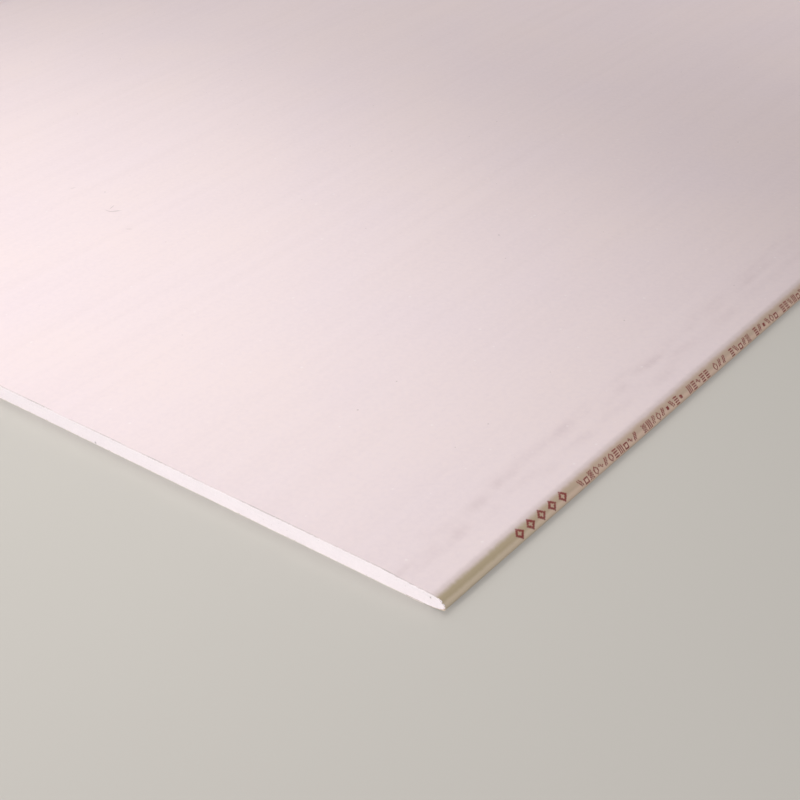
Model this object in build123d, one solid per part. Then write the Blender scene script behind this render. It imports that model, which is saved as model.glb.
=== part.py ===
from build123d import *

import os
from math import atan2, degrees, hypot, sqrt

# Plasterboard sheet. X runs across the width, Y along the length and Z up through the
# thickness. It lies face side up, with the origin under the middle of its back.

# The sheet as it is sold.
board_width = 1250.0
board_length = 2000.0
board_thickness = 12.5

# Papers. The face paper wraps both long edges and is folded onto the back, where the back
# paper laps over the folds.
face_paper_thickness = 0.35
back_paper_thickness = 0.30
flap_width = 30.0
back_paper_margin = 17.0

# Long edges. The face tapers down to a flat land, rolls over a half-round nose and turns in
# at a tight heel, then the back sweeps up to meet it. Widths are taken from the edge's tip.
taper_width = 50.0
taper_depth = 1.6
land_width = 20.0
taper_ease_radius = 150.0
nose_radius = 11.0
heel_radius = 2.0
sweep_width = 16.0
sweep_radius = 60.0


def nose_centre(heel_x, heel_z, land_z):
    """Centre of the nose arc, which touches the land and the heel arc."""
    rise = land_z - nose_radius - heel_z
    run = sqrt((nose_radius - heel_radius) ** 2 - rise**2)
    return heel_x - run, heel_z + rise


def half_outline():
    """Right half of what the face paper wraps, from the middle of the face to the back."""
    edge_x = board_width / 2
    land_z = board_thickness - taper_depth

    # The heel arc touches the edge's tip and the sweep arc, and the nose arc touches the heel.
    sweep_x = edge_x - sweep_width
    sweep_z = back_paper_thickness + sweep_radius
    heel_x = edge_x - heel_radius
    heel_z = sweep_z - sqrt((sweep_radius - heel_radius) ** 2 - (heel_x - sweep_x) ** 2)
    nose_x, nose_z = nose_centre(heel_x, heel_z, land_z)

    # Directions in which the nose arc hands over to the heel arc, and that to the sweep arc.
    nose_end = degrees(atan2(heel_z - nose_z, heel_x - nose_x))
    heel_end = degrees(atan2(heel_z - sweep_z, heel_x - sweep_x))

    # The eased bends of the taper keep within half of the land and half of the ramp.
    ramp_width = taper_width - land_width
    bend_tangent = taper_depth / (ramp_width + hypot(ramp_width, taper_depth))
    room = min(ramp_width, nose_x - (edge_x - land_width)) / 2
    ease_radius = min(taper_ease_radius, room / bend_tangent)

    face = FilletPolyline(
        (0, board_thickness),
        (edge_x - taper_width, board_thickness),
        (edge_x - land_width, land_z),
        (nose_x, land_z),
        radius=ease_radius,
    )
    nose = JernArc(face @ 1, (1, 0), nose_radius, nose_end - 90)
    heel = JernArc(nose @ 1, nose % 1, heel_radius, heel_end - nose_end)
    sweep = JernArc(heel @ 1, heel % 1, sweep_radius, -90 - heel_end)
    back = Line(sweep @ 1, (0, back_paper_thickness))
    return face + nose + heel + sweep + back


def strip(width, thickness, bottom):
    """Flat strip of the section, in the middle of the sheet."""
    return Pos(0, bottom + thickness / 2) * Rectangle(width, thickness)


def full_length(section):
    """Sheet-long solid with this section."""
    return extrude(Plane.XZ * section, board_length / 2, both=True)


half = half_outline()
wrapped = make_face(half + mirror(half, Plane.YZ))
inside_wrap = offset(wrapped, -face_paper_thickness)

# Between the two folds the core reaches down to the back paper.
between_flaps = strip(board_width - 2 * flap_width, face_paper_thickness, back_paper_thickness)

nodes = {
    "gypsum_core": full_length(inside_wrap + between_flaps),
    "face_paper": full_length(wrapped - inside_wrap - between_flaps),
    "back_paper": full_length(strip(board_width - 2 * back_paper_margin, back_paper_thickness, 0)),
}

os.makedirs("parts", exist_ok=True)
for name, shape in nodes.items():
    export_step(shape, f"parts/{name}.step")
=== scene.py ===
import math
import random

import bmesh
import bpy
from mathutils import Matrix, Vector, noise


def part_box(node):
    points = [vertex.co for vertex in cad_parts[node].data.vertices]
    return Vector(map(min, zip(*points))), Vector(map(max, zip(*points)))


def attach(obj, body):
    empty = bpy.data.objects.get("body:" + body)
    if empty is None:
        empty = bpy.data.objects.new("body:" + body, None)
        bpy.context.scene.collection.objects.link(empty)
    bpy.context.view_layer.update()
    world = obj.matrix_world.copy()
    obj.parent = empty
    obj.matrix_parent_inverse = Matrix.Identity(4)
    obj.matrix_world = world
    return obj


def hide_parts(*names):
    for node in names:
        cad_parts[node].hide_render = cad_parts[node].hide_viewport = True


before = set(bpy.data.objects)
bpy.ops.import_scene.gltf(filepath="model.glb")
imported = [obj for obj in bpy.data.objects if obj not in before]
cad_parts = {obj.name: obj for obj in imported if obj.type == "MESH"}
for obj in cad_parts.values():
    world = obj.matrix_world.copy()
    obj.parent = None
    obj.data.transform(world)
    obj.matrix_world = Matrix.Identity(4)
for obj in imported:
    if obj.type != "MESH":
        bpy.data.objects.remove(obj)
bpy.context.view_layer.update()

# The plasterboard sheet in metres: X across the width, Y along the length, Z up, face side up.
MM = 0.001
wrap_low, wrap_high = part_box("face_paper")
half_width, half_length, sheet_top = wrap_high
wrap_bottom = wrap_low.z

# How near a point is to a plane or an end to count as on it, and how near doubles lie.
hair, doubles = 0.01 * MM, 0.002 * MM

# Section of a long edge, with widths taken from the tip of the edge.
paper_thickness = 0.35 * MM
taper_width = 50 * MM
taper_depth = 1.6 * MM
land_width = 20 * MM
bend_width = 4 * MM
nose_radius = 11 * MM
heel_radius = 2 * MM
sweep_width = 16 * MM
sweep_radius = 60 * MM
flap_width = 30 * MM

# Centres of the arcs round the edge, as distances in from the tip and heights.
heel_in = heel_radius
sweep_height = wrap_bottom + sweep_radius
heel_height = sweep_height - math.sqrt(
    (sweep_radius - heel_radius) ** 2 - (sweep_width - heel_in) ** 2
)
nose_height = sheet_top - taper_depth - nose_radius
nose_in = heel_in + math.sqrt(
    (nose_radius - heel_radius) ** 2 - (nose_height - heel_height) ** 2
)

# Directions, up from level, in which the nose arc gives way to the heel, and that to the sweep.
nose_end = math.atan2(heel_height - nose_height, nose_in - heel_in)
heel_end = math.atan2(heel_height - sweep_height, sweep_width - heel_in)


# Colours and nodes

def linear(code):
    """A hex sRGB colour as linear red, green, blue and alpha."""
    parts = [int(code[i:i + 2], 16) / 255 for i in (1, 3, 5)]
    return (*(c / 12.92 if c <= 0.04045 else ((c + 0.055) / 1.055) ** 2.4 for c in parts), 1)


def add_node(tree, kind, inputs=None, **settings):
    """Adds a node with its settings, sets or links its inputs, and gives its outputs."""
    node = tree.nodes.new("ShaderNode" + kind)
    for name, value in settings.items():
        setattr(node, name, value)
    for name, value in (inputs or {}).items():
        if isinstance(value, bpy.types.NodeSocket):
            tree.links.new(value, node.inputs[name])
        else:
            node.inputs[name].default_value = value
    return node.outputs


def new_material(name):
    """A new material, with its node tree and its shader."""
    material = bpy.data.materials.new(name)
    material.use_nodes = True
    return material, material.node_tree, material.node_tree.nodes["Principled BSDF"]


# Sockets of a Mix node that goes from one colour to another, and settings used many times.
FACTOR, FIRST, SECOND, MIXED = 0, 6, 7, 2
COLOURS = {"data_type": "RGBA"}
SMOOTH = {"interpolation_type": "SMOOTHSTEP"}
TIMES_PLUS = {"operation": "MULTIPLY_ADD"}


# Shaping

def start_edit(piece):
    """Opens a piece's mesh for operators."""
    bpy.context.view_layer.objects.active = piece
    bpy.ops.object.mode_set(mode="EDIT")


def end_edit():
    """Closes the mesh again."""
    bpy.ops.object.mode_set(mode="OBJECT")


def add_grid(name, low, high, columns, rows):
    """A level grid of faces between two corners, open for editing and selected all over."""
    bpy.ops.object.select_all(action="DESELECT")
    bpy.ops.mesh.primitive_grid_add(x_subdivisions=columns, y_subdivisions=rows, size=1)
    piece = bpy.context.object
    piece.name = name
    start_edit(piece)
    bpy.ops.mesh.select_all(action="SELECT")
    bpy.ops.transform.resize(value=(high.x - low.x, high.y - low.y, 1))
    bpy.ops.transform.translate(value=(low + high) / 2)
    return piece


def select_edges(piece, wanted):
    """Selects the edges whose two ends are both wanted."""
    bpy.ops.mesh.select_mode(type="EDGE")
    bpy.ops.mesh.select_all(action="DESELECT")
    mesh = bmesh.from_edit_mesh(piece.data)
    for edge in mesh.edges:
        if all(wanted(vertex.co) for vertex in edge.verts):
            edge.select_set(True)
    bmesh.update_edit_mesh(piece.data)


def extrude(dx, dy, dz, steps=1):
    """Extrudes what is selected by equal steps."""
    step = (dx / steps, dy / steps, dz / steps)
    for _ in range(steps):
        bpy.ops.mesh.extrude_region_move(TRANSFORM_OT_translate={"value": step})


def roll_over(centre_in, centre_height, angle, steps):
    """Spins the selected row of edges outwards and down, round an arc of the long edge."""
    centre = (half_width - centre_in, 0, centre_height)
    bpy.ops.mesh.spin(steps=steps, angle=-angle, center=centre, axis=(0, 1, 0))


def apply_modifier(piece, kind, **settings):
    """Adds a modifier with its settings and applies it."""
    modifier = piece.modifiers.new(kind.lower(), kind)
    for name, value in settings.items():
        setattr(modifier, name, value)
    bpy.context.view_layer.objects.active = piece
    bpy.ops.object.modifier_apply(modifier=modifier.name)


def turn_outwards(piece):
    """Merges doubles and points the faces away from the sheet."""
    start_edit(piece)
    bpy.ops.mesh.select_all(action="SELECT")
    bpy.ops.mesh.remove_doubles(threshold=doubles)
    bpy.ops.mesh.normals_make_consistent(inside=False)
    end_edit()
    highest = max(piece.data.polygons, key=lambda face: face.center.z)
    if highest.normal.z < 0:
        piece.data.flip_normals()


def trim_ends(piece):
    """Keeps a piece within the length of the sheet."""
    for vertex in piece.data.vertices:
        vertex.co.y = max(-half_length, min(half_length, vertex.co.y))


def lay_copy(model, place):
    """Lays a copy of a small model, with its own mesh, turned to its place, and selects it."""
    bit = bpy.data.objects.new(model.name, model.data.copy())
    bpy.context.collection.objects.link(bit)
    bit.data.transform(place)
    bit.select_set(True)
    return bit


def join_copies(model, name):
    """Joins the selected copies into one piece, and removes their model."""
    bpy.data.objects.remove(model)
    bpy.context.view_layer.objects.active = bpy.context.selected_objects[0]
    bpy.ops.object.join()
    piece = bpy.context.object
    piece.name = name
    return piece


def two_grains(place, grain, finer):
    """Noise with a grain of one size, and half as strong with one so many times finer."""
    return noise.noise(place / grain) + 0.5 * noise.noise(place * finer / grain)


def soften(piece, angle):
    """Shades a piece smooth, apart from edges sharper than an angle in degrees."""
    bpy.ops.object.select_all(action="DESELECT")
    piece.select_set(True)
    bpy.context.view_layer.objects.active = piece
    bpy.ops.object.shade_smooth_by_angle(angle=math.radians(angle))


def dress(piece, material, node=None):
    """Gives a finished piece its material and slot, and the place of a CAD node."""
    piece.data.materials.clear()
    piece.data.materials.append(material)
    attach(piece, "root")
    if node:
        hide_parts(node)


# Section of the sheet

def taper_drop(inward):
    """How far the face has dropped, at a distance in from the tip, with eased bends."""
    slope = taper_depth / (taper_width - land_width)
    if inward >= taper_width + bend_width:
        return 0.0
    if inward > taper_width - bend_width:
        return slope * (taper_width + bend_width - inward) ** 2 / (4 * bend_width)
    if inward > land_width + bend_width:
        return slope * (taper_width - inward)
    if inward > land_width - bend_width:
        return taper_depth - slope * (inward - land_width + bend_width) ** 2 / (4 * bend_width)
    return taper_depth


def arc_offset(inward, centre_in, radius):
    """How far an arc lies above or below its centre."""
    return math.sqrt(max(0.0, radius**2 - (inward - centre_in) ** 2))


def core_top(inward):
    """Top of the core, under the face paper."""
    share = (nose_radius - paper_thickness) / (nose_radius - heel_radius)
    if inward >= nose_in:
        return sheet_top - paper_thickness - taper_drop(inward)
    if inward > nose_in + (heel_in - nose_in) * share:
        return nose_height + arc_offset(inward, nose_in, nose_radius - paper_thickness)
    return heel_height + arc_offset(inward, heel_in, heel_radius - paper_thickness)


def core_bottom(inward):
    """Bottom of the core, on the back paper or on a fold of the face paper."""
    share = (sweep_radius - paper_thickness) / (sweep_radius - heel_radius)
    if inward >= flap_width:
        return wrap_bottom
    if inward >= sweep_width:
        return wrap_bottom + paper_thickness
    if inward > sweep_width + (heel_in - sweep_width) * share:
        return sweep_height - arc_offset(inward, sweep_width, sweep_radius - paper_thickness)
    return heel_height - arc_offset(inward, heel_in, heel_radius - paper_thickness)


def edge_place(along, drop, lift):
    """Turns an upright thing onto the right edge: at a place along it, at a distance down
    its curve from the top of the nose, over the nose and round the heel, and so far out."""
    nose_length = nose_radius * (math.pi / 2 - nose_end)
    if drop < nose_length:
        centre_in, centre_height, radius = nose_in, nose_height, nose_radius
        angle = math.pi / 2 - drop / nose_radius
    else:
        centre_in, centre_height, radius = heel_in, heel_height, heel_radius
        angle = nose_end - (drop - nose_length) / heel_radius
    across = half_width - centre_in + (radius + lift) * math.cos(angle)
    height = centre_height + (radius + lift) * math.sin(angle)
    turn = Matrix.Rotation(math.pi / 2 - angle, 4, "Y")
    return Matrix.Translation((across, along, height)) @ turn


# Face paper

face_columns = 16
taper_columns = 22
row_count = 300
nose_steps, heel_steps, sweep_steps, flap_steps = 12, 8, 5, 2
rim_cuts = 29

# Cut rims: how deep and how coarsely they fray, and tear near the long edges.
fray_depth, fray_grain, fray_finer, mean_fray = 0.5 * MM, 2.2 * MM, 3, 0.35
torn_depth, torn_grain, torn_reach = 0.9 * MM, 0.9 * MM, 10 * MM

# Dents that the forming rollers leave along the tapers: rows as distance in and depth, the
# gap from dent to dent, their sideways shift, and their half sizes across and along. A dent
# ends at so many half sizes from its middle, and at the deepest depth its burnish and painted
# shade are full.
dent_rows = ((46 * MM, 0.09 * MM), (39 * MM, 0.18 * MM), (28 * MM, 0.11 * MM))
dent_gap = (5 * MM, 26 * MM)
dent_shift = 2.6 * MM
dent_across, dent_along = (1.6 * MM, 3.2 * MM), (3 * MM, 8.5 * MM)
dent_reach, deepest_dent = 3, 0.22 * MM


def place_dents():
    """Dents along the taper of each side: distance in, place along, depth and half sizes."""
    draw = random.Random(12)
    dents = {-1: [], 1: []}
    for side in dents:
        for inward, depth in dent_rows:
            along = -half_length
            while along < half_length:
                along += draw.uniform(*dent_gap)
                shifted = inward + draw.gauss(0, dent_shift)
                half_sizes = draw.uniform(*dent_across), draw.uniform(*dent_along)
                dents[side].append((shifted, along, depth * draw.random(), *half_sizes))
    return dents


def press_tapers(piece):
    """Presses both tapers and their dents into the flat face, and notes how hard each place
    was pressed in an attribute, which the finish darkens with burnish and painted shade."""
    dents = place_dents()
    burnish_and_shade = [0.0] * len(piece.data.vertices)
    for vertex in piece.data.vertices:
        place = vertex.co
        inward = half_width - abs(place.x)
        if place.z < sheet_top - hair or inward > taper_width + bend_width:
            continue
        dent = 0.0
        for dent_in, dent_y, depth, half_wide, half_long in dents[1 if place.x > 0 else -1]:
            across, along = (inward - dent_in) / half_wide, (place.y - dent_y) / half_long
            reach = across**2 + along**2
            dent += depth * math.exp(-reach / 2) if reach < dent_reach**2 else 0
        place.z -= taper_drop(inward) + dent
        burnish_and_shade[vertex.index] = min(1.0, dent / deepest_dent)
    values = piece.data.attributes.new("burnish_and_shade", "FLOAT", "POINT")
    values.data.foreach_set("value", burnish_and_shade)


def fray_rims(piece):
    """Pulls the paper's two cut rims back a little, unevenly, and more round the edges."""
    for vertex in piece.data.vertices:
        place = vertex.co
        if abs(place.y) > half_length - hair:
            uneven = two_grains(place, fray_grain, fray_finer)
            pull = fray_depth * min(1, max(0, mean_fray + uneven))
            torn = max(0, 1 - (half_width - abs(place.x)) / torn_reach)
            pull += torn_depth * torn * max(0, noise.noise(place / torn_grain))
            place.y -= math.copysign(pull, place.y)


def make_face_paper(material):
    """Paper over the face, rolled round both long edges and folded onto the back."""
    flat_end = half_width - taper_width - bend_width
    taper_step = (half_width - nose_in - flat_end) / taper_columns
    low = Vector((0, -half_length, sheet_top))
    high = Vector((flat_end, half_length, sheet_top))
    piece = add_grid("face_paper_wrap", low, high, face_columns, row_count)
    select_edges(piece, lambda place: place.x > flat_end - hair)
    extrude(taper_step * (taper_columns - 1), 0, 0, taper_columns - 1)
    extrude(taper_step, 0, -taper_depth)
    roll_over(nose_in, nose_height, math.pi / 2 - nose_end, nose_steps)
    roll_over(heel_in, heel_height, nose_end - heel_end, heel_steps)
    roll_over(sweep_width, sweep_height, heel_end + math.pi / 2, sweep_steps)
    extrude(sweep_width - flap_width, 0, 0, flap_steps)
    select_edges(
        piece,
        lambda place: abs(place.y) > half_length - hair and place.x < flat_end + hair,
    )
    bpy.ops.mesh.subdivide(number_cuts=rim_cuts)
    end_edit()
    apply_modifier(piece, "MIRROR", use_clip=True, merge_threshold=hair)
    turn_outwards(piece)
    press_tapers(piece)
    fray_rims(piece)
    apply_modifier(piece, "SOLIDIFY", thickness=paper_thickness, offset=-1, use_even_offset=True)
    trim_ends(piece)
    soften(piece, 30)
    dress(piece, material, "face_paper")


# Core

core_columns, core_rows = 1000, 10
core_tip = half_width - paper_thickness
tip_stretch = 10 * MM
least_height = 0.1 * MM

# Sawn ends: how far they have crumbled back all over, in chips at the rims and at corners.
sawn_recess, sawn_depth, sawn_grain, sawn_finer = 0.3 * MM, 0.22 * MM, 1.6 * MM, 2.7
chip_depth, chip_grain, least_chip, rim_steepness = 0.7 * MM, 5 * MM, 0.1, 5
corner_loss, corner_grain, corner_reach = 1.3 * MM, 1.2 * MM, 4 * MM


def core_station(across):
    """Where a grid column goes, with the columns drawn together towards the tips."""
    from_tip = core_tip - abs(across)
    if from_tip < tip_stretch:
        from_tip = tip_stretch * (1 - math.cos(math.pi / 2 * from_tip / tip_stretch))
    return math.copysign(core_tip - from_tip, across)


def crumble(place, share):
    """How far the sawn gypsum has crumbled back, at a place and a share of its height. It
    has lost more along its rims, and most at the thin corners."""
    recess = sawn_recess + sawn_depth * two_grains(place, sawn_grain, sawn_finer)
    rim = max(0, 1 - rim_steepness * min(share, 1 - share))
    chip = max(0, noise.noise(place / chip_grain) - least_chip) * rim
    corner = max(0, 1 - (core_tip - abs(place.x)) / corner_reach)
    loss = corner_loss * corner * (1 + noise.noise(place / corner_grain))
    return max(0, recess + chip_depth * chip + loss)


def make_core(material):
    """Gypsum core, with crumbled sawn ends."""
    low, high = Vector((-core_tip, 0, 0)), Vector((core_tip, 1, 0))
    piece = add_grid("gypsum_core_body", low, high, core_columns, core_rows)
    end_edit()
    for vertex in piece.data.vertices:
        across = core_station(vertex.co.x)
        inward = half_width - abs(across)
        bottom, top = core_bottom(inward), core_top(inward)
        vertex.co = (across, -half_length, bottom + (top - bottom) * vertex.co.y)
    start_edit(piece)
    bpy.ops.mesh.select_all(action="SELECT")
    extrude(0, 2 * half_length, 0)
    end_edit()
    turn_outwards(piece)
    for vertex in piece.data.vertices:
        place = vertex.co
        inward = half_width - abs(place.x)
        bottom, top = core_bottom(inward), core_top(inward)
        share = (place.z - bottom) / max(top - bottom, least_height)
        place.y -= math.copysign(crumble(place, share), place.y)
    soften(piece, 60)
    dress(piece, material, "gypsum_core")


# Crumbs

crumbs_each = 16
crumb_size = (0.22 * MM, 0.55 * MM)
crumb_lumps, crumb_hollows, crumb_flatness = 1.7, 0.45, 0.7

# How far round the edge from the nose's top the crumbs lie and the least share of that, how
# far they are spun in radians, and, in sizes of the crumb, how deep they are sunk and how far
# in from the end they sit.
crumb_spread, least_spread, crumb_spin = 12 * MM, 0.2, (0, 6)
crumb_sunk, crumb_inset = 0.3, (0.9, 1.4)


def model_crumb():
    """One rough crumb of gypsum, standing on the origin."""
    bpy.ops.object.select_all(action="DESELECT")
    bpy.ops.mesh.primitive_ico_sphere_add(subdivisions=2, radius=1)
    crumb = bpy.context.object
    crumb.name = "crumb"
    for vertex in crumb.data.vertices:
        vertex.co *= 1 + crumb_hollows * noise.noise(vertex.co * crumb_lumps)
        vertex.co.z *= crumb_flatness
    return crumb


def make_crumbs(material):
    """Crumbs caught between the core and the paper where the ends meet the long edges."""
    crumb = model_crumb()
    draw = random.Random(8)
    bpy.ops.object.select_all(action="DESELECT")
    for side in (-1, 1):
        for end in (-1, 1):
            for _ in range(crumbs_each):
                size = draw.uniform(*crumb_size)
                drop = draw.uniform(least_spread, 1) ** 0.5 * crumb_spread
                place = edge_place(0, drop, -crumb_sunk * size)
                spin = Matrix.Rotation(draw.uniform(*crumb_spin), 4, "Z")
                bit = lay_copy(crumb, place @ spin @ Matrix.Diagonal((size, size, size, 1)))
                inset = draw.uniform(*crumb_inset) * size
                bit.data.transform(Matrix.Translation((0, half_length - inset, 0)))
                bit.data.transform(Matrix.Diagonal((side, end, 1, 1)))
                if side * end < 0:
                    bit.data.flip_normals()
    piece = join_copies(crumb, "corner_crumbs")
    trim_ends(piece)
    soften(piece, 40)
    dress(piece, material)


# Edge marks

# A ribbon of plain dot-matrix marks printed along the right edge, with no letters or digits.
# A drop of ink is drawn thicker than it dries, so that it stands clear of the paper. Its
# radius and height, the pitch from drop to drop, the share of its radius that its top has,
# its range of sizes, the share of its height that is sunk, and how far it strays along and
# down the edge:
dot_radius, dot_height, dot_pitch = 0.56 * MM, 0.03 * MM, 0.85 * MM
dot_top, dot_sizes, dot_sunk = 0.6, (0.85, 1.1), 0.4
dot_drift, dot_sag = 0.05 * MM, 0.04 * MM
line_rows = 7

# Where the marks are along from the near end, and down from the nose's top to their middle.
large_count, large_scale = 5, 1.35
large_start, large_step, large_drop = 74 * MM, 11.4 * MM, 7.8 * MM
small_start, small_step, small_drop = 140 * MM, 5.8 * MM, 9.3 * MM
small_end = 705 * MM
group_cells, group_gap = (3, 12), 1

# Each motif is drawn as rows of dots, from the top down.
motifs = {
    "diamond": ("...#...", "..###..", ".##.##.", "##...##", ".##.##.", "..###..", "...#..."),
    "tall_diamond": ("..#..", ".#.#.", "#...#", "#...#", "#...#", ".#.#.", "..#.."),
    "bars": ("#.#.#", "#.#.#", "#.#.#", "#.#.#", "#.#.#", "#.#.#", "#.#.#"),
    "dashes": ("#####", ".....", "#####", ".....", "#####", ".....", "#####"),
    "slants": ("..#.#", "..#.#", ".#.#.", ".#.#.", "#.#..", "#.#..", "....."),
    "backslants": ("#.#..", "#.#..", ".#.#.", ".#.#.", "..#.#", "..#.#", "....."),
    "square": (".....", ".....", "#####", "#...#", "#...#", "#...#", "#####"),
    "block": (".....", ".....", ".###.", ".###.", ".###.", ".....", "....."),
    "wave": (".....", ".#...", "#.#..", "..#.#", "...#.", ".....", "....."),
    "checks": ("#.#.#", ".#.#.", "#.#.#", ".#.#.", "#.#.#", ".#.#.", "#.#.#"),
}


def model_ink_dot():
    """One low drop of dried ink, standing on the origin."""
    bpy.ops.object.select_all(action="DESELECT")
    bpy.ops.mesh.primitive_circle_add(vertices=8, radius=dot_radius, fill_type="NGON")
    dot = bpy.context.object
    dot.name = "ink_drop"
    start_edit(dot)
    bpy.ops.mesh.select_all(action="SELECT")
    extrude(0, 0, dot_height)
    bpy.ops.transform.resize(value=(dot_top, dot_top, 1))
    end_edit()
    turn_outwards(dot)
    return dot


def motif_spots(name, start, middle, scale):
    """Places and sizes of a motif's dots: along the edge, down its curve, and the size."""
    for row, line in enumerate(motifs[name]):
        drop = middle + (row - (line_rows - 1) / 2) * dot_pitch * scale
        for column, sign in enumerate(line):
            if sign == "#":
                yield start + column * dot_pitch * scale, drop, scale


def ribbon_spots():
    """Places of all the dots: large marks near the corner, then small ones in short groups."""
    draw = random.Random(5)
    names = [name for name in motifs if name != "diamond"]
    for index in range(large_count):
        along = large_start + index * large_step
        yield from motif_spots("diamond", along, large_drop, large_scale)
    along = small_start
    while along < small_end:
        for _ in range(draw.randint(*group_cells)):
            yield from motif_spots(draw.choice(names), along, small_drop, 1)
            along += small_step
        along += group_gap * small_step


def make_edge_marks(material):
    """All the drops of ink on the right edge, as one piece."""
    dot = model_ink_dot()
    draw = random.Random(3)
    bpy.ops.object.select_all(action="DESELECT")
    for along, drop, scale in ribbon_spots():
        size = scale * draw.uniform(*dot_sizes)
        shifted = along + draw.gauss(0, dot_drift) - half_length
        place = edge_place(shifted, drop + draw.gauss(0, dot_sag), -dot_sunk * dot_height)
        lay_copy(dot, place @ Matrix.Diagonal((size, size, 1, 1)))
    piece = join_copies(dot, "edge_marks")
    soften(piece, 40)
    piece.data.materials.clear()
    piece.data.materials.append(material)
    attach(piece, "root")


# Finishes

# A speck's soft rim as a share of its radius, and the power that makes most specks small.
speck_rim, speck_power = 0.35, 3

# Where a stroke fades in and is full, in its half sizes.
stroke_rim = (1.2, 0.5)

# Marks that handling left on the face: centre, turn, half length, half width and bow.
scuffs = (
    ((40.5 * MM, -753.5 * MM), 28, 9 * MM, 0.8 * MM, 0.05),
    ((33 * MM, -747.5 * MM), 110, 4.5 * MM, 0.6 * MM, 0),
    ((43 * MM, -750 * MM), 35, 4.5 * MM, 0.5 * MM, 0),
    ((-33.9 * MM, -738.6 * MM), 60, 3 * MM, 0.5 * MM, 0),
    ((82.4 * MM, -769.7 * MM), 30, 3.5 * MM, 0.6 * MM, 0),
    ((1 * MM, -728.7 * MM), 0, 1 * MM, 0.8 * MM, 0),
    ((372.8 * MM, -611.8 * MM), 0, 1.2 * MM, 0.9 * MM, 0),
)

# Face paper: the sizes of its patterns, and how they are drawn out along the sheet. Real
# fibres are finer, and are drawn this coarse so that they show.
face_clouds, face_streaks, face_patches = 4 * MM, 12 * MM, 120 * MM
face_smears, face_cockle, face_fibres = 28 * MM, 25 * MM, 0.5 * MM
streak_stretch = (1, 0.03, 1)

# Specks: spacing, largest radius and strength. Lint is shifted, to lie apart from the bark.
bark_specks, lint_specks = (45 * MM, 0.9 * MM, 0.35), (26 * MM, 1.3 * MM, 0.45)
lint_shift = (0.013, 0.021, 0)

# Where its colours change, as the start and end of each change, and how far that wavers: in
# from the tip for the painted shade on the shoulder and for the wrap, down from the face for
# the side and for the painted bounce light on its lower part, and along from the near end for
# the browner stretch there.
shoulder_shade_band, shoulder_shade_waver = (10.5 * MM, 6.5 * MM), 1.5 * MM
wrap_band, wrap_wavers = (6.3 * MM, 2.7 * MM), (2 * MM, 1 * MM)
side_band = (4 * MM, 6 * MM)
bounce_light_band, bounce_light_waver = (3.8 * MM, 5.8 * MM), 1 * MM
near_band, near_waver = (70 * MM, 210 * MM), 60 * MM

# How wide the grey rim along a cut is, and how far it wavers on the face and the back.
rim_width, face_rim_waver, back_rim_waver = 0.5 * MM, 0.8 * MM, 0.6 * MM

face_warm, face_cool, face_dull = linear("#efdddc"), linear("#eddce0"), linear("#d9c6c5")
# Wrapped edges: each olive is the paper's tint darkened by painted shade, each sand the tint
# lightened by painted bounce light.
near_olive_shade, near_sand_bounce_light = linear("#b4a286"), linear("#d2c0a8")
far_olive_shade, far_sand_bounce_light = linear("#c3aa97"), linear("#dbc0ad")
# Painted shade in pink-grey: in the dents, where it is partly burnish, and on the shoulder.
burnish_and_shade_pink, shoulder_shade_pink = linear("#e2cfd1"), linear("#dac8c7")
bark_brown, lint_white = linear("#8b7a72"), linear("#f9eeee")
scuff_grey, cut_grey = linear("#c9b9ba"), linear("#c9bcbb")


def speck_mask(tree, place, spacing, radius, strength):
    """Round specks, one to a square of the spacing, of many sizes up to the radius."""
    inputs = {"Vector": place, "Scale": 1 / spacing}
    specks = add_node(tree, "TexVoronoi", inputs, voronoi_dimensions="2D")
    size = add_node(tree, "SeparateColor", {"Color": specks["Color"]})["Red"]
    share = add_node(tree, "Math", {0: size, 1: speck_power}, operation="POWER")[0]
    beyond = {0: share, 1: -radius / spacing, 2: specks["Distance"]}
    beyond = add_node(tree, "Math", beyond, **TIMES_PLUS)[0]
    full = -speck_rim * radius / spacing
    rim = {"Value": beyond, "From Min": 0, "From Max": full, "To Max": strength}
    return add_node(tree, "MapRange", rim, **SMOOTH)["Result"]


def stroke_mask(tree, place, centre, turn, half_long, half_wide, bow):
    """One short bowed stroke on the face, soft at its rim."""
    inputs = {"Vector": place, "Location": (*centre, 0), "Rotation": (0, 0, math.radians(turn))}
    local = add_node(tree, "Mapping", inputs, vector_type="TEXTURE")[0]
    axes = add_node(tree, "SeparateXYZ", {"Vector": local})
    squared = add_node(tree, "Math", {0: axes["X"], 1: axes["X"]}, operation="MULTIPLY")[0]
    bowed = add_node(tree, "Math", {0: squared, 1: -bow / MM, 2: axes["Y"]}, **TIMES_PLUS)[0]
    bent = add_node(tree, "CombineXYZ", {"X": axes["X"], "Y": bowed})[0]
    sizes = {0: bent, 1: (1 / half_long, 1 / half_wide, 0)}
    scaled = add_node(tree, "VectorMath", sizes, operation="MULTIPLY")[0]
    reach = add_node(tree, "VectorMath", {0: scaled}, operation="LENGTH")["Value"]
    start, full = stroke_rim
    rim = {"Value": reach, "From Min": start, "From Max": full}
    return add_node(tree, "MapRange", rim, **SMOOTH)["Result"]


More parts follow.
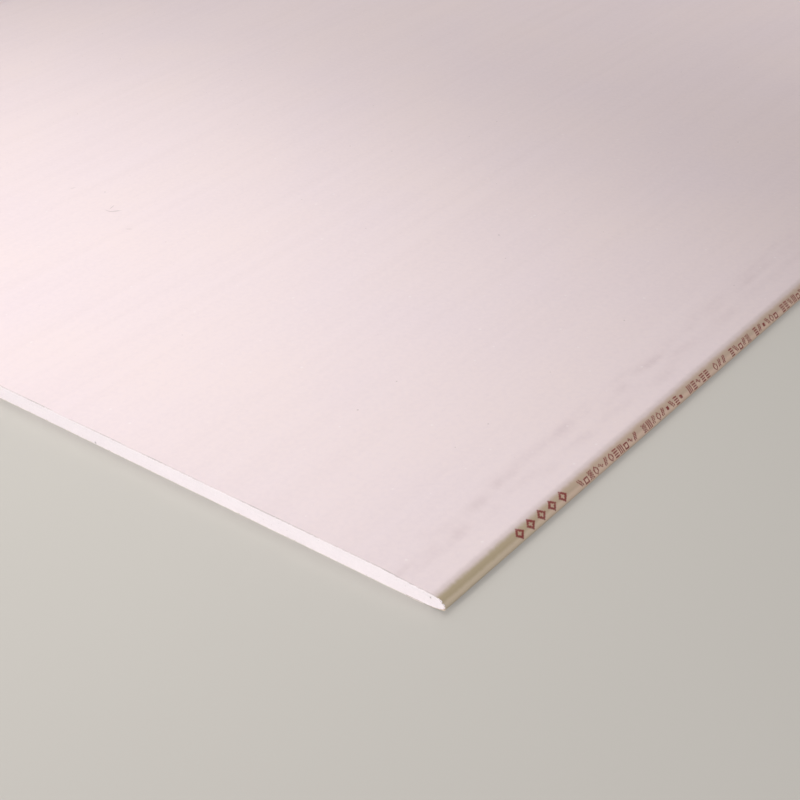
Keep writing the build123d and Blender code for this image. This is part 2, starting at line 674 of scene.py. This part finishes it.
def make_face_material():
    """Calendered face paper, pressed smooth but matt. The pulp lies in faint clouds with
    lengthwise streaks, and the sheet is olive and sand where it wraps the edges: its tint with
    painted shade above and painted bounce light below. Painted shade also greys the shoulder
    and darkens the dents."""
    material, tree, shader = new_material("calendered_face_paper")
    place = add_node(tree, "TexCoord")["Object"]
    axes = add_node(tree, "SeparateXYZ", {"Vector": place})
    along = add_node(tree, "Mapping", {"Vector": place, "Scale": streak_stretch})[0]
    clouds = {"Vector": place, "Scale": 1 / face_clouds, "Detail": 3}
    clouds = add_node(tree, "TexNoise", clouds)["Fac"]
    patches = {"Vector": place, "Scale": 1 / face_patches, "Detail": 1}
    patches = add_node(tree, "TexNoise", patches)["Fac"]
    smears = {"Vector": place, "Scale": 1 / face_smears, "Detail": 1}
    smears = add_node(tree, "TexNoise", smears)["Fac"]
    cockle = {"Vector": place, "Scale": 1 / face_cockle, "Detail": 1}
    cockle = add_node(tree, "TexNoise", cockle)["Fac"]
    fibres = {"Vector": place, "Scale": 1 / face_fibres, "Detail": 2}
    fibres = add_node(tree, "TexNoise", fibres)["Fac"]
    streaks = {"Vector": along, "Scale": 1 / face_streaks, "Detail": 2}
    streaks = add_node(tree, "TexNoise", streaks)["Fac"]

    # A little warmer or cooler by patches, and duller by clouds and streaks. Both start below
    # nought, because a pattern's mean is a half.
    hue, tone = -0.5, -0.319
    for pattern, weight in ((patches, 1.2), (clouds, 0.8)):
        hue = add_node(tree, "Math", {0: pattern, 1: weight, 2: hue}, **TIMES_PLUS)[0]
    for pattern, weight in ((clouds, 0.352), (streaks, 0.264), (patches, 0.132)):
        tone = add_node(tree, "Math", {0: pattern, 1: weight, 2: tone}, **TIMES_PLUS)[0]
    pulp = {FACTOR: hue, FIRST: face_warm, SECOND: face_cool}
    colour = add_node(tree, "Mix", pulp, **COLOURS)[MIXED]

    # Darker and greyer in the dents that the forming rollers pressed into the tapers, most in the
    # clouds: partly burnish, partly painted shade.
    burnish_and_shade = add_node(tree, "Attribute", attribute_name="burnish_and_shade")["Fac"]
    unevenly = add_node(tree, "Math", {0: clouds, 1: 1.2, 2: 0.4}, **TIMES_PLUS)[0]
    dent_burnish_and_shade = add_node(tree, "Math", {0: burnish_and_shade, 1: unevenly}, operation="MULTIPLY")[0]

    # Painted shade: greyer where it starts to turn down over the shoulder.
    across = add_node(tree, "Math", {0: axes["X"]}, operation="ABSOLUTE")[0]
    drift = add_node(tree, "Math", {0: clouds, 1: shoulder_shade_waver, 2: across}, **TIMES_PLUS)[0]
    start, full = (half_width - inward for inward in shoulder_shade_band)
    shoulder = {"Value": drift, "From Min": start, "From Max": full}
    shoulder_shade = add_node(tree, "MapRange", shoulder, **SMOOTH)["Result"]

    # Olive and lower down sand where it wraps the long edges, with a soft and uneven start,
    # and both browner near the cut end. The olive is the paper's tint with painted shade, and the
    # paler sand low down is the tint with painted bounce light.
    wander = across
    for pattern, waver in zip((clouds, streaks), wrap_wavers):
        wander = add_node(tree, "Math", {0: pattern, 1: waver, 2: wander}, **TIMES_PLUS)[0]
    start, full = (half_width - inward for inward in wrap_band)
    wrapped = {"Value": wander, "From Min": start, "From Max": full}
    wrapped = add_node(tree, "MapRange", wrapped, **SMOOTH)["Result"]
    start, full = (sheet_top - down for down in side_band)
    below = {"Value": axes["Z"], "From Min": start, "From Max": full}
    below = add_node(tree, "MapRange", below, **SMOOTH)["Result"]
    edge = add_node(tree, "Math", {0: wrapped, 1: below}, operation="MAXIMUM")[0]
    # The lower part of the edge, lightened by painted bounce light.
    level = add_node(tree, "Math", {0: clouds, 1: bounce_light_waver, 2: axes["Z"]}, **TIMES_PLUS)[0]
    start, full = (sheet_top - down for down in bounce_light_band)
    low = {"Value": level, "From Min": start, "From Max": full}
    low = add_node(tree, "MapRange", low, **SMOOTH)["Result"]
    distance = {0: patches, 1: near_waver, 2: axes["Y"]}
    distance = add_node(tree, "Math", distance, **TIMES_PLUS)[0]
    start, full = (past - half_length for past in near_band)
    far = {"Value": distance, "From Min": start, "From Max": full}
    far = add_node(tree, "MapRange", far, **SMOOTH)["Result"]
    olive_shade = {FACTOR: far, FIRST: near_olive_shade, SECOND: far_olive_shade}
    sand_bounce_light = {FACTOR: far, FIRST: near_sand_bounce_light, SECOND: far_sand_bounce_light}
    olive_shade = add_node(tree, "Mix", olive_shade, **COLOURS)[MIXED]
    sand_bounce_light = add_node(tree, "Mix", sand_bounce_light, **COLOURS)[MIXED]
    wrap_tint_and_shade = {FACTOR: low, FIRST: olive_shade, SECOND: sand_bounce_light}
    wrap_tint_and_shade = add_node(tree, "Mix", wrap_tint_and_shade, **COLOURS)[MIXED]

    # Specks of bark and pale lint in the pulp, scuffs from handling, and the cut rim, whose
    # grey is broken up by smears.
    bark = speck_mask(tree, place, *bark_specks)
    shifted = add_node(tree, "Mapping", {"Vector": place, "Location": lint_shift})[0]
    lint = speck_mask(tree, shifted, *lint_specks)
    scuffed = 0.0
    for scuff in scuffs:
        stroke = stroke_mask(tree, place, *scuff)
        scuffed = add_node(tree, "Math", {0: stroke, 1: scuffed}, operation="MAXIMUM")[0]
    worn = add_node(tree, "Math", {0: scuffed, 1: 0.8}, operation="MULTIPLY")[0]
    length = add_node(tree, "Math", {0: axes["Y"]}, operation="ABSOLUTE")[0]
    frayed = add_node(tree, "Math", {0: fibres, 1: face_rim_waver, 2: length}, **TIMES_PLUS)[0]
    cut = {"Value": frayed, "From Min": half_length - rim_width, "From Max": half_length}
    rim = add_node(tree, "MapRange", cut, **SMOOTH)["Result"]
    broken = add_node(tree, "Math", {0: smears, 1: 2.6, 2: -0.8}, **TIMES_PLUS)[0]
    pair = {0: rim, 1: broken}
    rim = add_node(tree, "Math", pair, operation="MULTIPLY", use_clamp=True)[0]

    # The layers include painted shade in the dents and on the shoulder, and painted shade and
    # bounce light on the wrapped edges.
    layers = (
        (tone, face_dull),
        (dent_burnish_and_shade, burnish_and_shade_pink),
        (shoulder_shade, shoulder_shade_pink),
        (edge, wrap_tint_and_shade),
        (bark, bark_brown),
        (lint, lint_white),
        (worn, scuff_grey),
        (rim, cut_grey),
    )
    for mask, layer in layers:
        sockets = {FACTOR: mask, FIRST: colour, SECOND: layer}
        colour = add_node(tree, "Mix", sockets, **COLOURS)[MIXED]
    tree.links.new(colour, shader.inputs["Base Color"])

    # Fine felt, slow cockle and lengthwise ripples in millimetres, with the scuffs pressed in.
    heights = ((fibres, 0.006), (clouds, 0.015), (cockle, 0.10), (streaks, 0.03), (scuffed, -0.12))
    relief, gloss = 0.0, 0.62
    for pattern, height in heights:
        relief = add_node(tree, "Math", {0: pattern, 1: height, 2: relief}, **TIMES_PLUS)[0]
    for pattern, weight in ((clouds, -0.12), (scuffed, 0.15)):
        gloss = add_node(tree, "Math", {0: pattern, 1: weight, 2: gloss}, **TIMES_PLUS)[0]
    bump = add_node(tree, "Bump", {"Height": relief, "Distance": MM, "Strength": 1})
    tree.links.new(bump["Normal"], shader.inputs["Normal"])
    tree.links.new(gloss, shader.inputs["Roughness"])
    shader.inputs["IOR"].default_value = 1.5
    return material


# Sawn gypsum: the sizes of its patterns, and how the saw's lines are drawn out across the
# sheet. Real crystals are finer, and are drawn as crumb so that they show. Specks as above.
gypsum_crumb, gypsum_patches, saw_pitch = 1.5 * MM, 25 * MM, 0.9 * MM
saw_stretch = (0.05, 1, 1)
pinhole_specks, pit_specks = (3.5 * MM, 0.45 * MM, 0.3), (22 * MM, 1.1 * MM, 0.55)
gypsum_white, gypsum_dull = linear("#faf0f3"), linear("#eee4e8")
# Painted shade in the pinholes and pits.
pinhole_shade, pit_shade = linear("#b9b0ad"), linear("#a79c98")


def make_gypsum_material():
    """Foamed gypsum, sawn across: chalky and dead matt, with fine crumb, pinholes from the
    foam and faint lines that the saw left along the cut. The pinholes and pits are darkened
    with painted shade."""
    material, tree, shader = new_material("sawn_gypsum")
    place = add_node(tree, "TexCoord")["Object"]
    along = add_node(tree, "Mapping", {"Vector": place, "Scale": saw_stretch})[0]
    crumb = {"Vector": place, "Scale": 1 / gypsum_crumb, "Detail": 5}
    crumb = add_node(tree, "TexNoise", crumb)["Fac"]
    patches = {"Vector": place, "Scale": 1 / gypsum_patches, "Detail": 2}
    patches = add_node(tree, "TexNoise", patches)["Fac"]
    saw_lines = {"Vector": along, "Scale": 1 / saw_pitch, "Detail": 2}
    saw_lines = add_node(tree, "TexNoise", saw_lines)["Fac"]
    axes = add_node(tree, "SeparateXYZ", {"Vector": place})
    flat = add_node(tree, "CombineXYZ", {"X": axes["X"], "Y": axes["Z"]})[0]
    pinholes = speck_mask(tree, flat, *pinhole_specks)
    pits = speck_mask(tree, flat, *pit_specks)

    tone = -0.55
    for pattern, weight in ((crumb, 0.8), (saw_lines, 0.5), (patches, 0.4)):
        tone = add_node(tree, "Math", {0: pattern, 1: weight, 2: tone}, **TIMES_PLUS)[0]
    colour = gypsum_white
    # Duller by crumb, saw lines and patches, and darker with painted shade in the pinholes and
    # pits.
    for mask, layer in ((tone, gypsum_dull), (pinholes, pinhole_shade), (pits, pit_shade)):
        sockets = {FACTOR: mask, FIRST: colour, SECOND: layer}
        colour = add_node(tree, "Mix", sockets, **COLOURS)[MIXED]
    tree.links.new(colour, shader.inputs["Base Color"])

    # Heights in millimetres.
    relief = 0.0
    for pattern, height in ((crumb, 0.25), (saw_lines, 0.12), (pinholes, -0.8), (pits, -0.9)):
        relief = add_node(tree, "Math", {0: pattern, 1: height, 2: relief}, **TIMES_PLUS)[0]
    bump = add_node(tree, "Bump", {"Height": relief, "Distance": MM, "Strength": 0.8})
    tree.links.new(bump["Normal"], shader.inputs["Normal"])
    shader.inputs["Roughness"].default_value = 0.92
    shader.inputs["Specular IOR Level"].default_value = 0.2
    return material


# Back paper: the sizes of its patterns, with fibres drawn as coarse as the face paper's, how
# they are drawn out along the sheet, and its specks.
back_clouds, back_bands, back_patches, back_fibres = 3 * MM, 9 * MM, 70 * MM, 0.5 * MM
band_stretch = (1, 0.04, 1)
dark_specks, pale_specks = (9 * MM, 0.9 * MM, 0.5), (12 * MM, 1.1 * MM, 0.5)
pale_shift = (0.31, 0.17, 0)
back_grey, back_dull, back_rim = linear("#aca497"), linear("#8d8579"), linear("#e2dad3")
old_print, pale_fibre = linear("#4f4a45"), linear("#d5cfc3")


def make_back_material():
    """Grey liner from recycled paper: rough and matt, mottled, with flecks of old print and
    pale fibres, and faint lengthwise bands from the paper machine."""
    material, tree, shader = new_material("recycled_back_paper")
    place = add_node(tree, "TexCoord")["Object"]
    along = add_node(tree, "Mapping", {"Vector": place, "Scale": band_stretch})[0]
    clouds = {"Vector": place, "Scale": 1 / back_clouds, "Detail": 4}
    clouds = add_node(tree, "TexNoise", clouds)["Fac"]
    patches = {"Vector": place, "Scale": 1 / back_patches, "Detail": 2}
    patches = add_node(tree, "TexNoise", patches)["Fac"]
    fibres = {"Vector": place, "Scale": 1 / back_fibres, "Detail": 2}
    fibres = add_node(tree, "TexNoise", fibres)["Fac"]
    bands = {"Vector": along, "Scale": 1 / back_bands, "Detail": 2}
    bands = add_node(tree, "TexNoise", bands)["Fac"]
    dark_flecks = speck_mask(tree, place, *dark_specks)
    shifted = add_node(tree, "Mapping", {"Vector": place, "Location": pale_shift})[0]
    pale_flecks = speck_mask(tree, shifted, *pale_specks)
    axes = add_node(tree, "SeparateXYZ", {"Vector": place})
    length = add_node(tree, "Math", {0: axes["Y"]}, operation="ABSOLUTE")[0]
    frayed = add_node(tree, "Math", {0: fibres, 1: back_rim_waver, 2: length}, **TIMES_PLUS)[0]
    cut = {"Value": frayed, "From Min": half_length - rim_width, "From Max": half_length}
    rim = add_node(tree, "MapRange", cut, **SMOOTH)["Result"]

    tone = -0.6
    for pattern, weight in ((clouds, 1.1), (patches, 0.5), (bands, 0.6)):
        tone = add_node(tree, "Math", {0: pattern, 1: weight, 2: tone}, **TIMES_PLUS)[0]
    colour = back_grey
    layers = (
        (tone, back_dull),
        (dark_flecks, old_print),
        (pale_flecks, pale_fibre),
        (rim, back_rim),
    )
    for mask, layer in layers:
        sockets = {FACTOR: mask, FIRST: colour, SECOND: layer}
        colour = add_node(tree, "Mix", sockets, **COLOURS)[MIXED]
    tree.links.new(colour, shader.inputs["Base Color"])

    # Heights in millimetres.
    relief = 0.0
    for pattern, height in ((fibres, 0.02), (clouds, 0.06), (bands, 0.05)):
        relief = add_node(tree, "Math", {0: pattern, 1: height, 2: relief}, **TIMES_PLUS)[0]
    bump = add_node(tree, "Bump", {"Height": relief, "Distance": MM, "Strength": 1})
    tree.links.new(bump["Normal"], shader.inputs["Normal"])
    shader.inputs["Roughness"].default_value = 0.85
    return material


# Ink: how it soaked in within a mark, how it changes along the edge, and how much it bumps.
ink_soaking, ink_changes, ink_relief = 1.2 * MM, 30 * MM, 0.02 * MM
ink_dense, ink_thin = linear("#7a2a2b"), linear("#93433e")


def make_ink_material():
    """Red-brown ink-jet ink: soaked into the paper and matt, denser in some drops."""
    material, tree, shader = new_material("dried_inkjet_ink")
    place = add_node(tree, "TexCoord")["Object"]
    soaking = {"Vector": place, "Scale": 1 / ink_soaking, "Detail": 2}
    soaking = add_node(tree, "TexNoise", soaking)["Fac"]
    changes = {"Vector": place, "Scale": 1 / ink_changes, "Detail": 1}
    changes = add_node(tree, "TexNoise", changes)["Fac"]
    tone = -0.35
    for pattern, weight in ((soaking, 1.1), (changes, 0.6)):
        tone = add_node(tree, "Math", {0: pattern, 1: weight, 2: tone}, **TIMES_PLUS)[0]
    sockets = {FACTOR: tone, FIRST: ink_dense, SECOND: ink_thin}
    colour = add_node(tree, "Mix", sockets, **COLOURS)[MIXED]
    tree.links.new(colour, shader.inputs["Base Color"])
    bump = add_node(tree, "Bump", {"Height": soaking, "Distance": ink_relief})
    tree.links.new(bump["Normal"], shader.inputs["Normal"])
    shader.inputs["Roughness"].default_value = 0.7
    return material


# Studio

# Camera: its lens in millimetres, its angles, and its place from the near right corner.
lens_mm = 66.6
camera_azimuth = math.radians(43.24)
camera_elevation = math.radians(32.64)
camera_roll = math.radians(-5.71)
camera_from_corner = Vector((440.2, -488.5, 572.0)) * MM

# Softboxes: name, place, aim and side in metres, spread in degrees and power in watts.
softboxes = (
    ("key_softbox", (-0.14, -0.88, 1.06), (-0.37, -1.6, 0), 1.4, 140, 8.59),
    ("far_softbox", (0, 0.5, 1), (0, 0.6, 0), 1.6, 40, 1.98),
    ("front_softbox", (0.45, -4.8, 1), (0.5, -1, 0), 1.1, 50, 7.24),
    ("right_softbox", (3.4, -3, 0.85), (0.6, -0.9, 0), 1, 60, 2.29),
)
fill_strength = 0.39
backdrop_colour = linear("#d9d5cf")

# Round floor: its radius and the size of its faint clouds in metres, its corners, and the
# strength and colour of its glow.
floor_radius, floor_clouds, floor_corners = 90, 0.4, 96
floor_dark, floor_pale = linear("#9b968f"), linear("#9f9a93")
glow_strength, glow_colour = 0.24, linear("#fdf9f3")


def add_camera():
    """Looks down on the near right corner, from the photograph's side."""
    bpy.ops.object.camera_add()
    camera = bpy.context.object
    camera.name = "corner_camera"
    camera.data.lens = lens_mm
    camera.data.clip_start = 0.01
    turn = Matrix.Rotation(camera_azimuth, 4, "Z")
    tilt = Matrix.Rotation(math.pi / 2 - camera_elevation, 4, "X")
    roll = Matrix.Rotation(camera_roll, 4, "Z")
    corner = Vector((half_width, -half_length, 0))
    camera.matrix_world = Matrix.Translation(corner + camera_from_corner) @ turn @ tilt @ roll
    bpy.context.scene.camera = camera


def add_softbox(name, place, aim, side, spread, power):
    """A square softbox with a grid over it, out of the camera's sight."""
    bpy.ops.object.light_add(type="AREA", location=place)
    lamp = bpy.context.object
    lamp.name = name
    lamp.data.shape = "SQUARE"
    lamp.data.size = side
    lamp.data.spread = math.radians(spread)
    lamp.data.energy = power
    lamp.visible_camera = False
    lamp.rotation_mode = "QUATERNION"
    lamp.rotation_quaternion = (Vector(aim) - Vector(place)).to_track_quat("-Z", "Y")


def background_rays(tree):
    """Rays that see the pale background: the camera's, reflected ones and ones let through."""
    rays = add_node(tree, "LightPath")
    shown = {0: rays["Is Camera Ray"], 1: rays["Is Glossy Ray"]}
    shown = add_node(tree, "Math", shown, operation="MAXIMUM")[0]
    shown = {0: shown, 1: rays["Is Transmission Ray"]}
    return add_node(tree, "Math", shown, operation="MAXIMUM")[0]


def add_floor():
    """Plain pale floor. It is seen a little lighter than it is lit, so that it stays pale
    away from the lamps and still holds the sheet's shadow."""
    material, tree, shader = new_material("smooth_pale_floor")
    place = add_node(tree, "TexCoord")["Object"]
    clouds = {"Vector": place, "Scale": 1 / floor_clouds, "Detail": 3}
    clouds = add_node(tree, "TexNoise", clouds)["Fac"]
    sockets = {FACTOR: clouds, FIRST: floor_dark, SECOND: floor_pale}
    colour = add_node(tree, "Mix", sockets, **COLOURS)[MIXED]
    tree.links.new(colour, shader.inputs["Base Color"])
    shader.inputs["Roughness"].default_value = 0.8
    shader.inputs["Emission Color"].default_value = glow_colour
    shown = background_rays(tree)
    glow = add_node(tree, "Math", {0: shown, 1: glow_strength}, operation="MULTIPLY")[0]
    tree.links.new(glow, shader.inputs["Emission Strength"])
    bpy.ops.mesh.primitive_circle_add(
        vertices=floor_corners, radius=floor_radius, fill_type="NGON"
    )
    floor = bpy.context.object
    floor.name = "floor"
    floor.data.materials.append(material)


def light_studio():
    """A wide softbox over the near end, a weaker one over the far half, two farther off in
    front and on the right, and an even fill. What is seen behind it all is a pale backdrop."""
    for softbox in softboxes:
        add_softbox(*softbox)
    world = bpy.data.worlds.new("studio_air")
    bpy.context.scene.world = world
    world.use_nodes = True
    tree = world.node_tree
    fill = tree.nodes["Background"]
    fill.inputs["Color"].default_value = (1, 1, 1, 1)
    fill.inputs["Strength"].default_value = fill_strength
    backdrop = add_node(tree, "Background", {"Color": backdrop_colour, "Strength": 1})[0]
    sockets = {0: background_rays(tree), 1: fill.outputs[0], 2: backdrop}
    chosen = add_node(tree, "MixShader", sockets)[0]
    tree.links.new(chosen, tree.nodes["World Output"].inputs["Surface"])


make_face_paper(make_face_material())
gypsum = make_gypsum_material()
make_core(gypsum)
make_crumbs(gypsum)
make_edge_marks(make_ink_material())
back_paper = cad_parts["back_paper"]
back_paper.data.materials.clear()
back_paper.data.materials.append(make_back_material())
add_floor()
light_studio()
add_camera()
bpy.context.scene.view_settings.view_transform = "Standard"
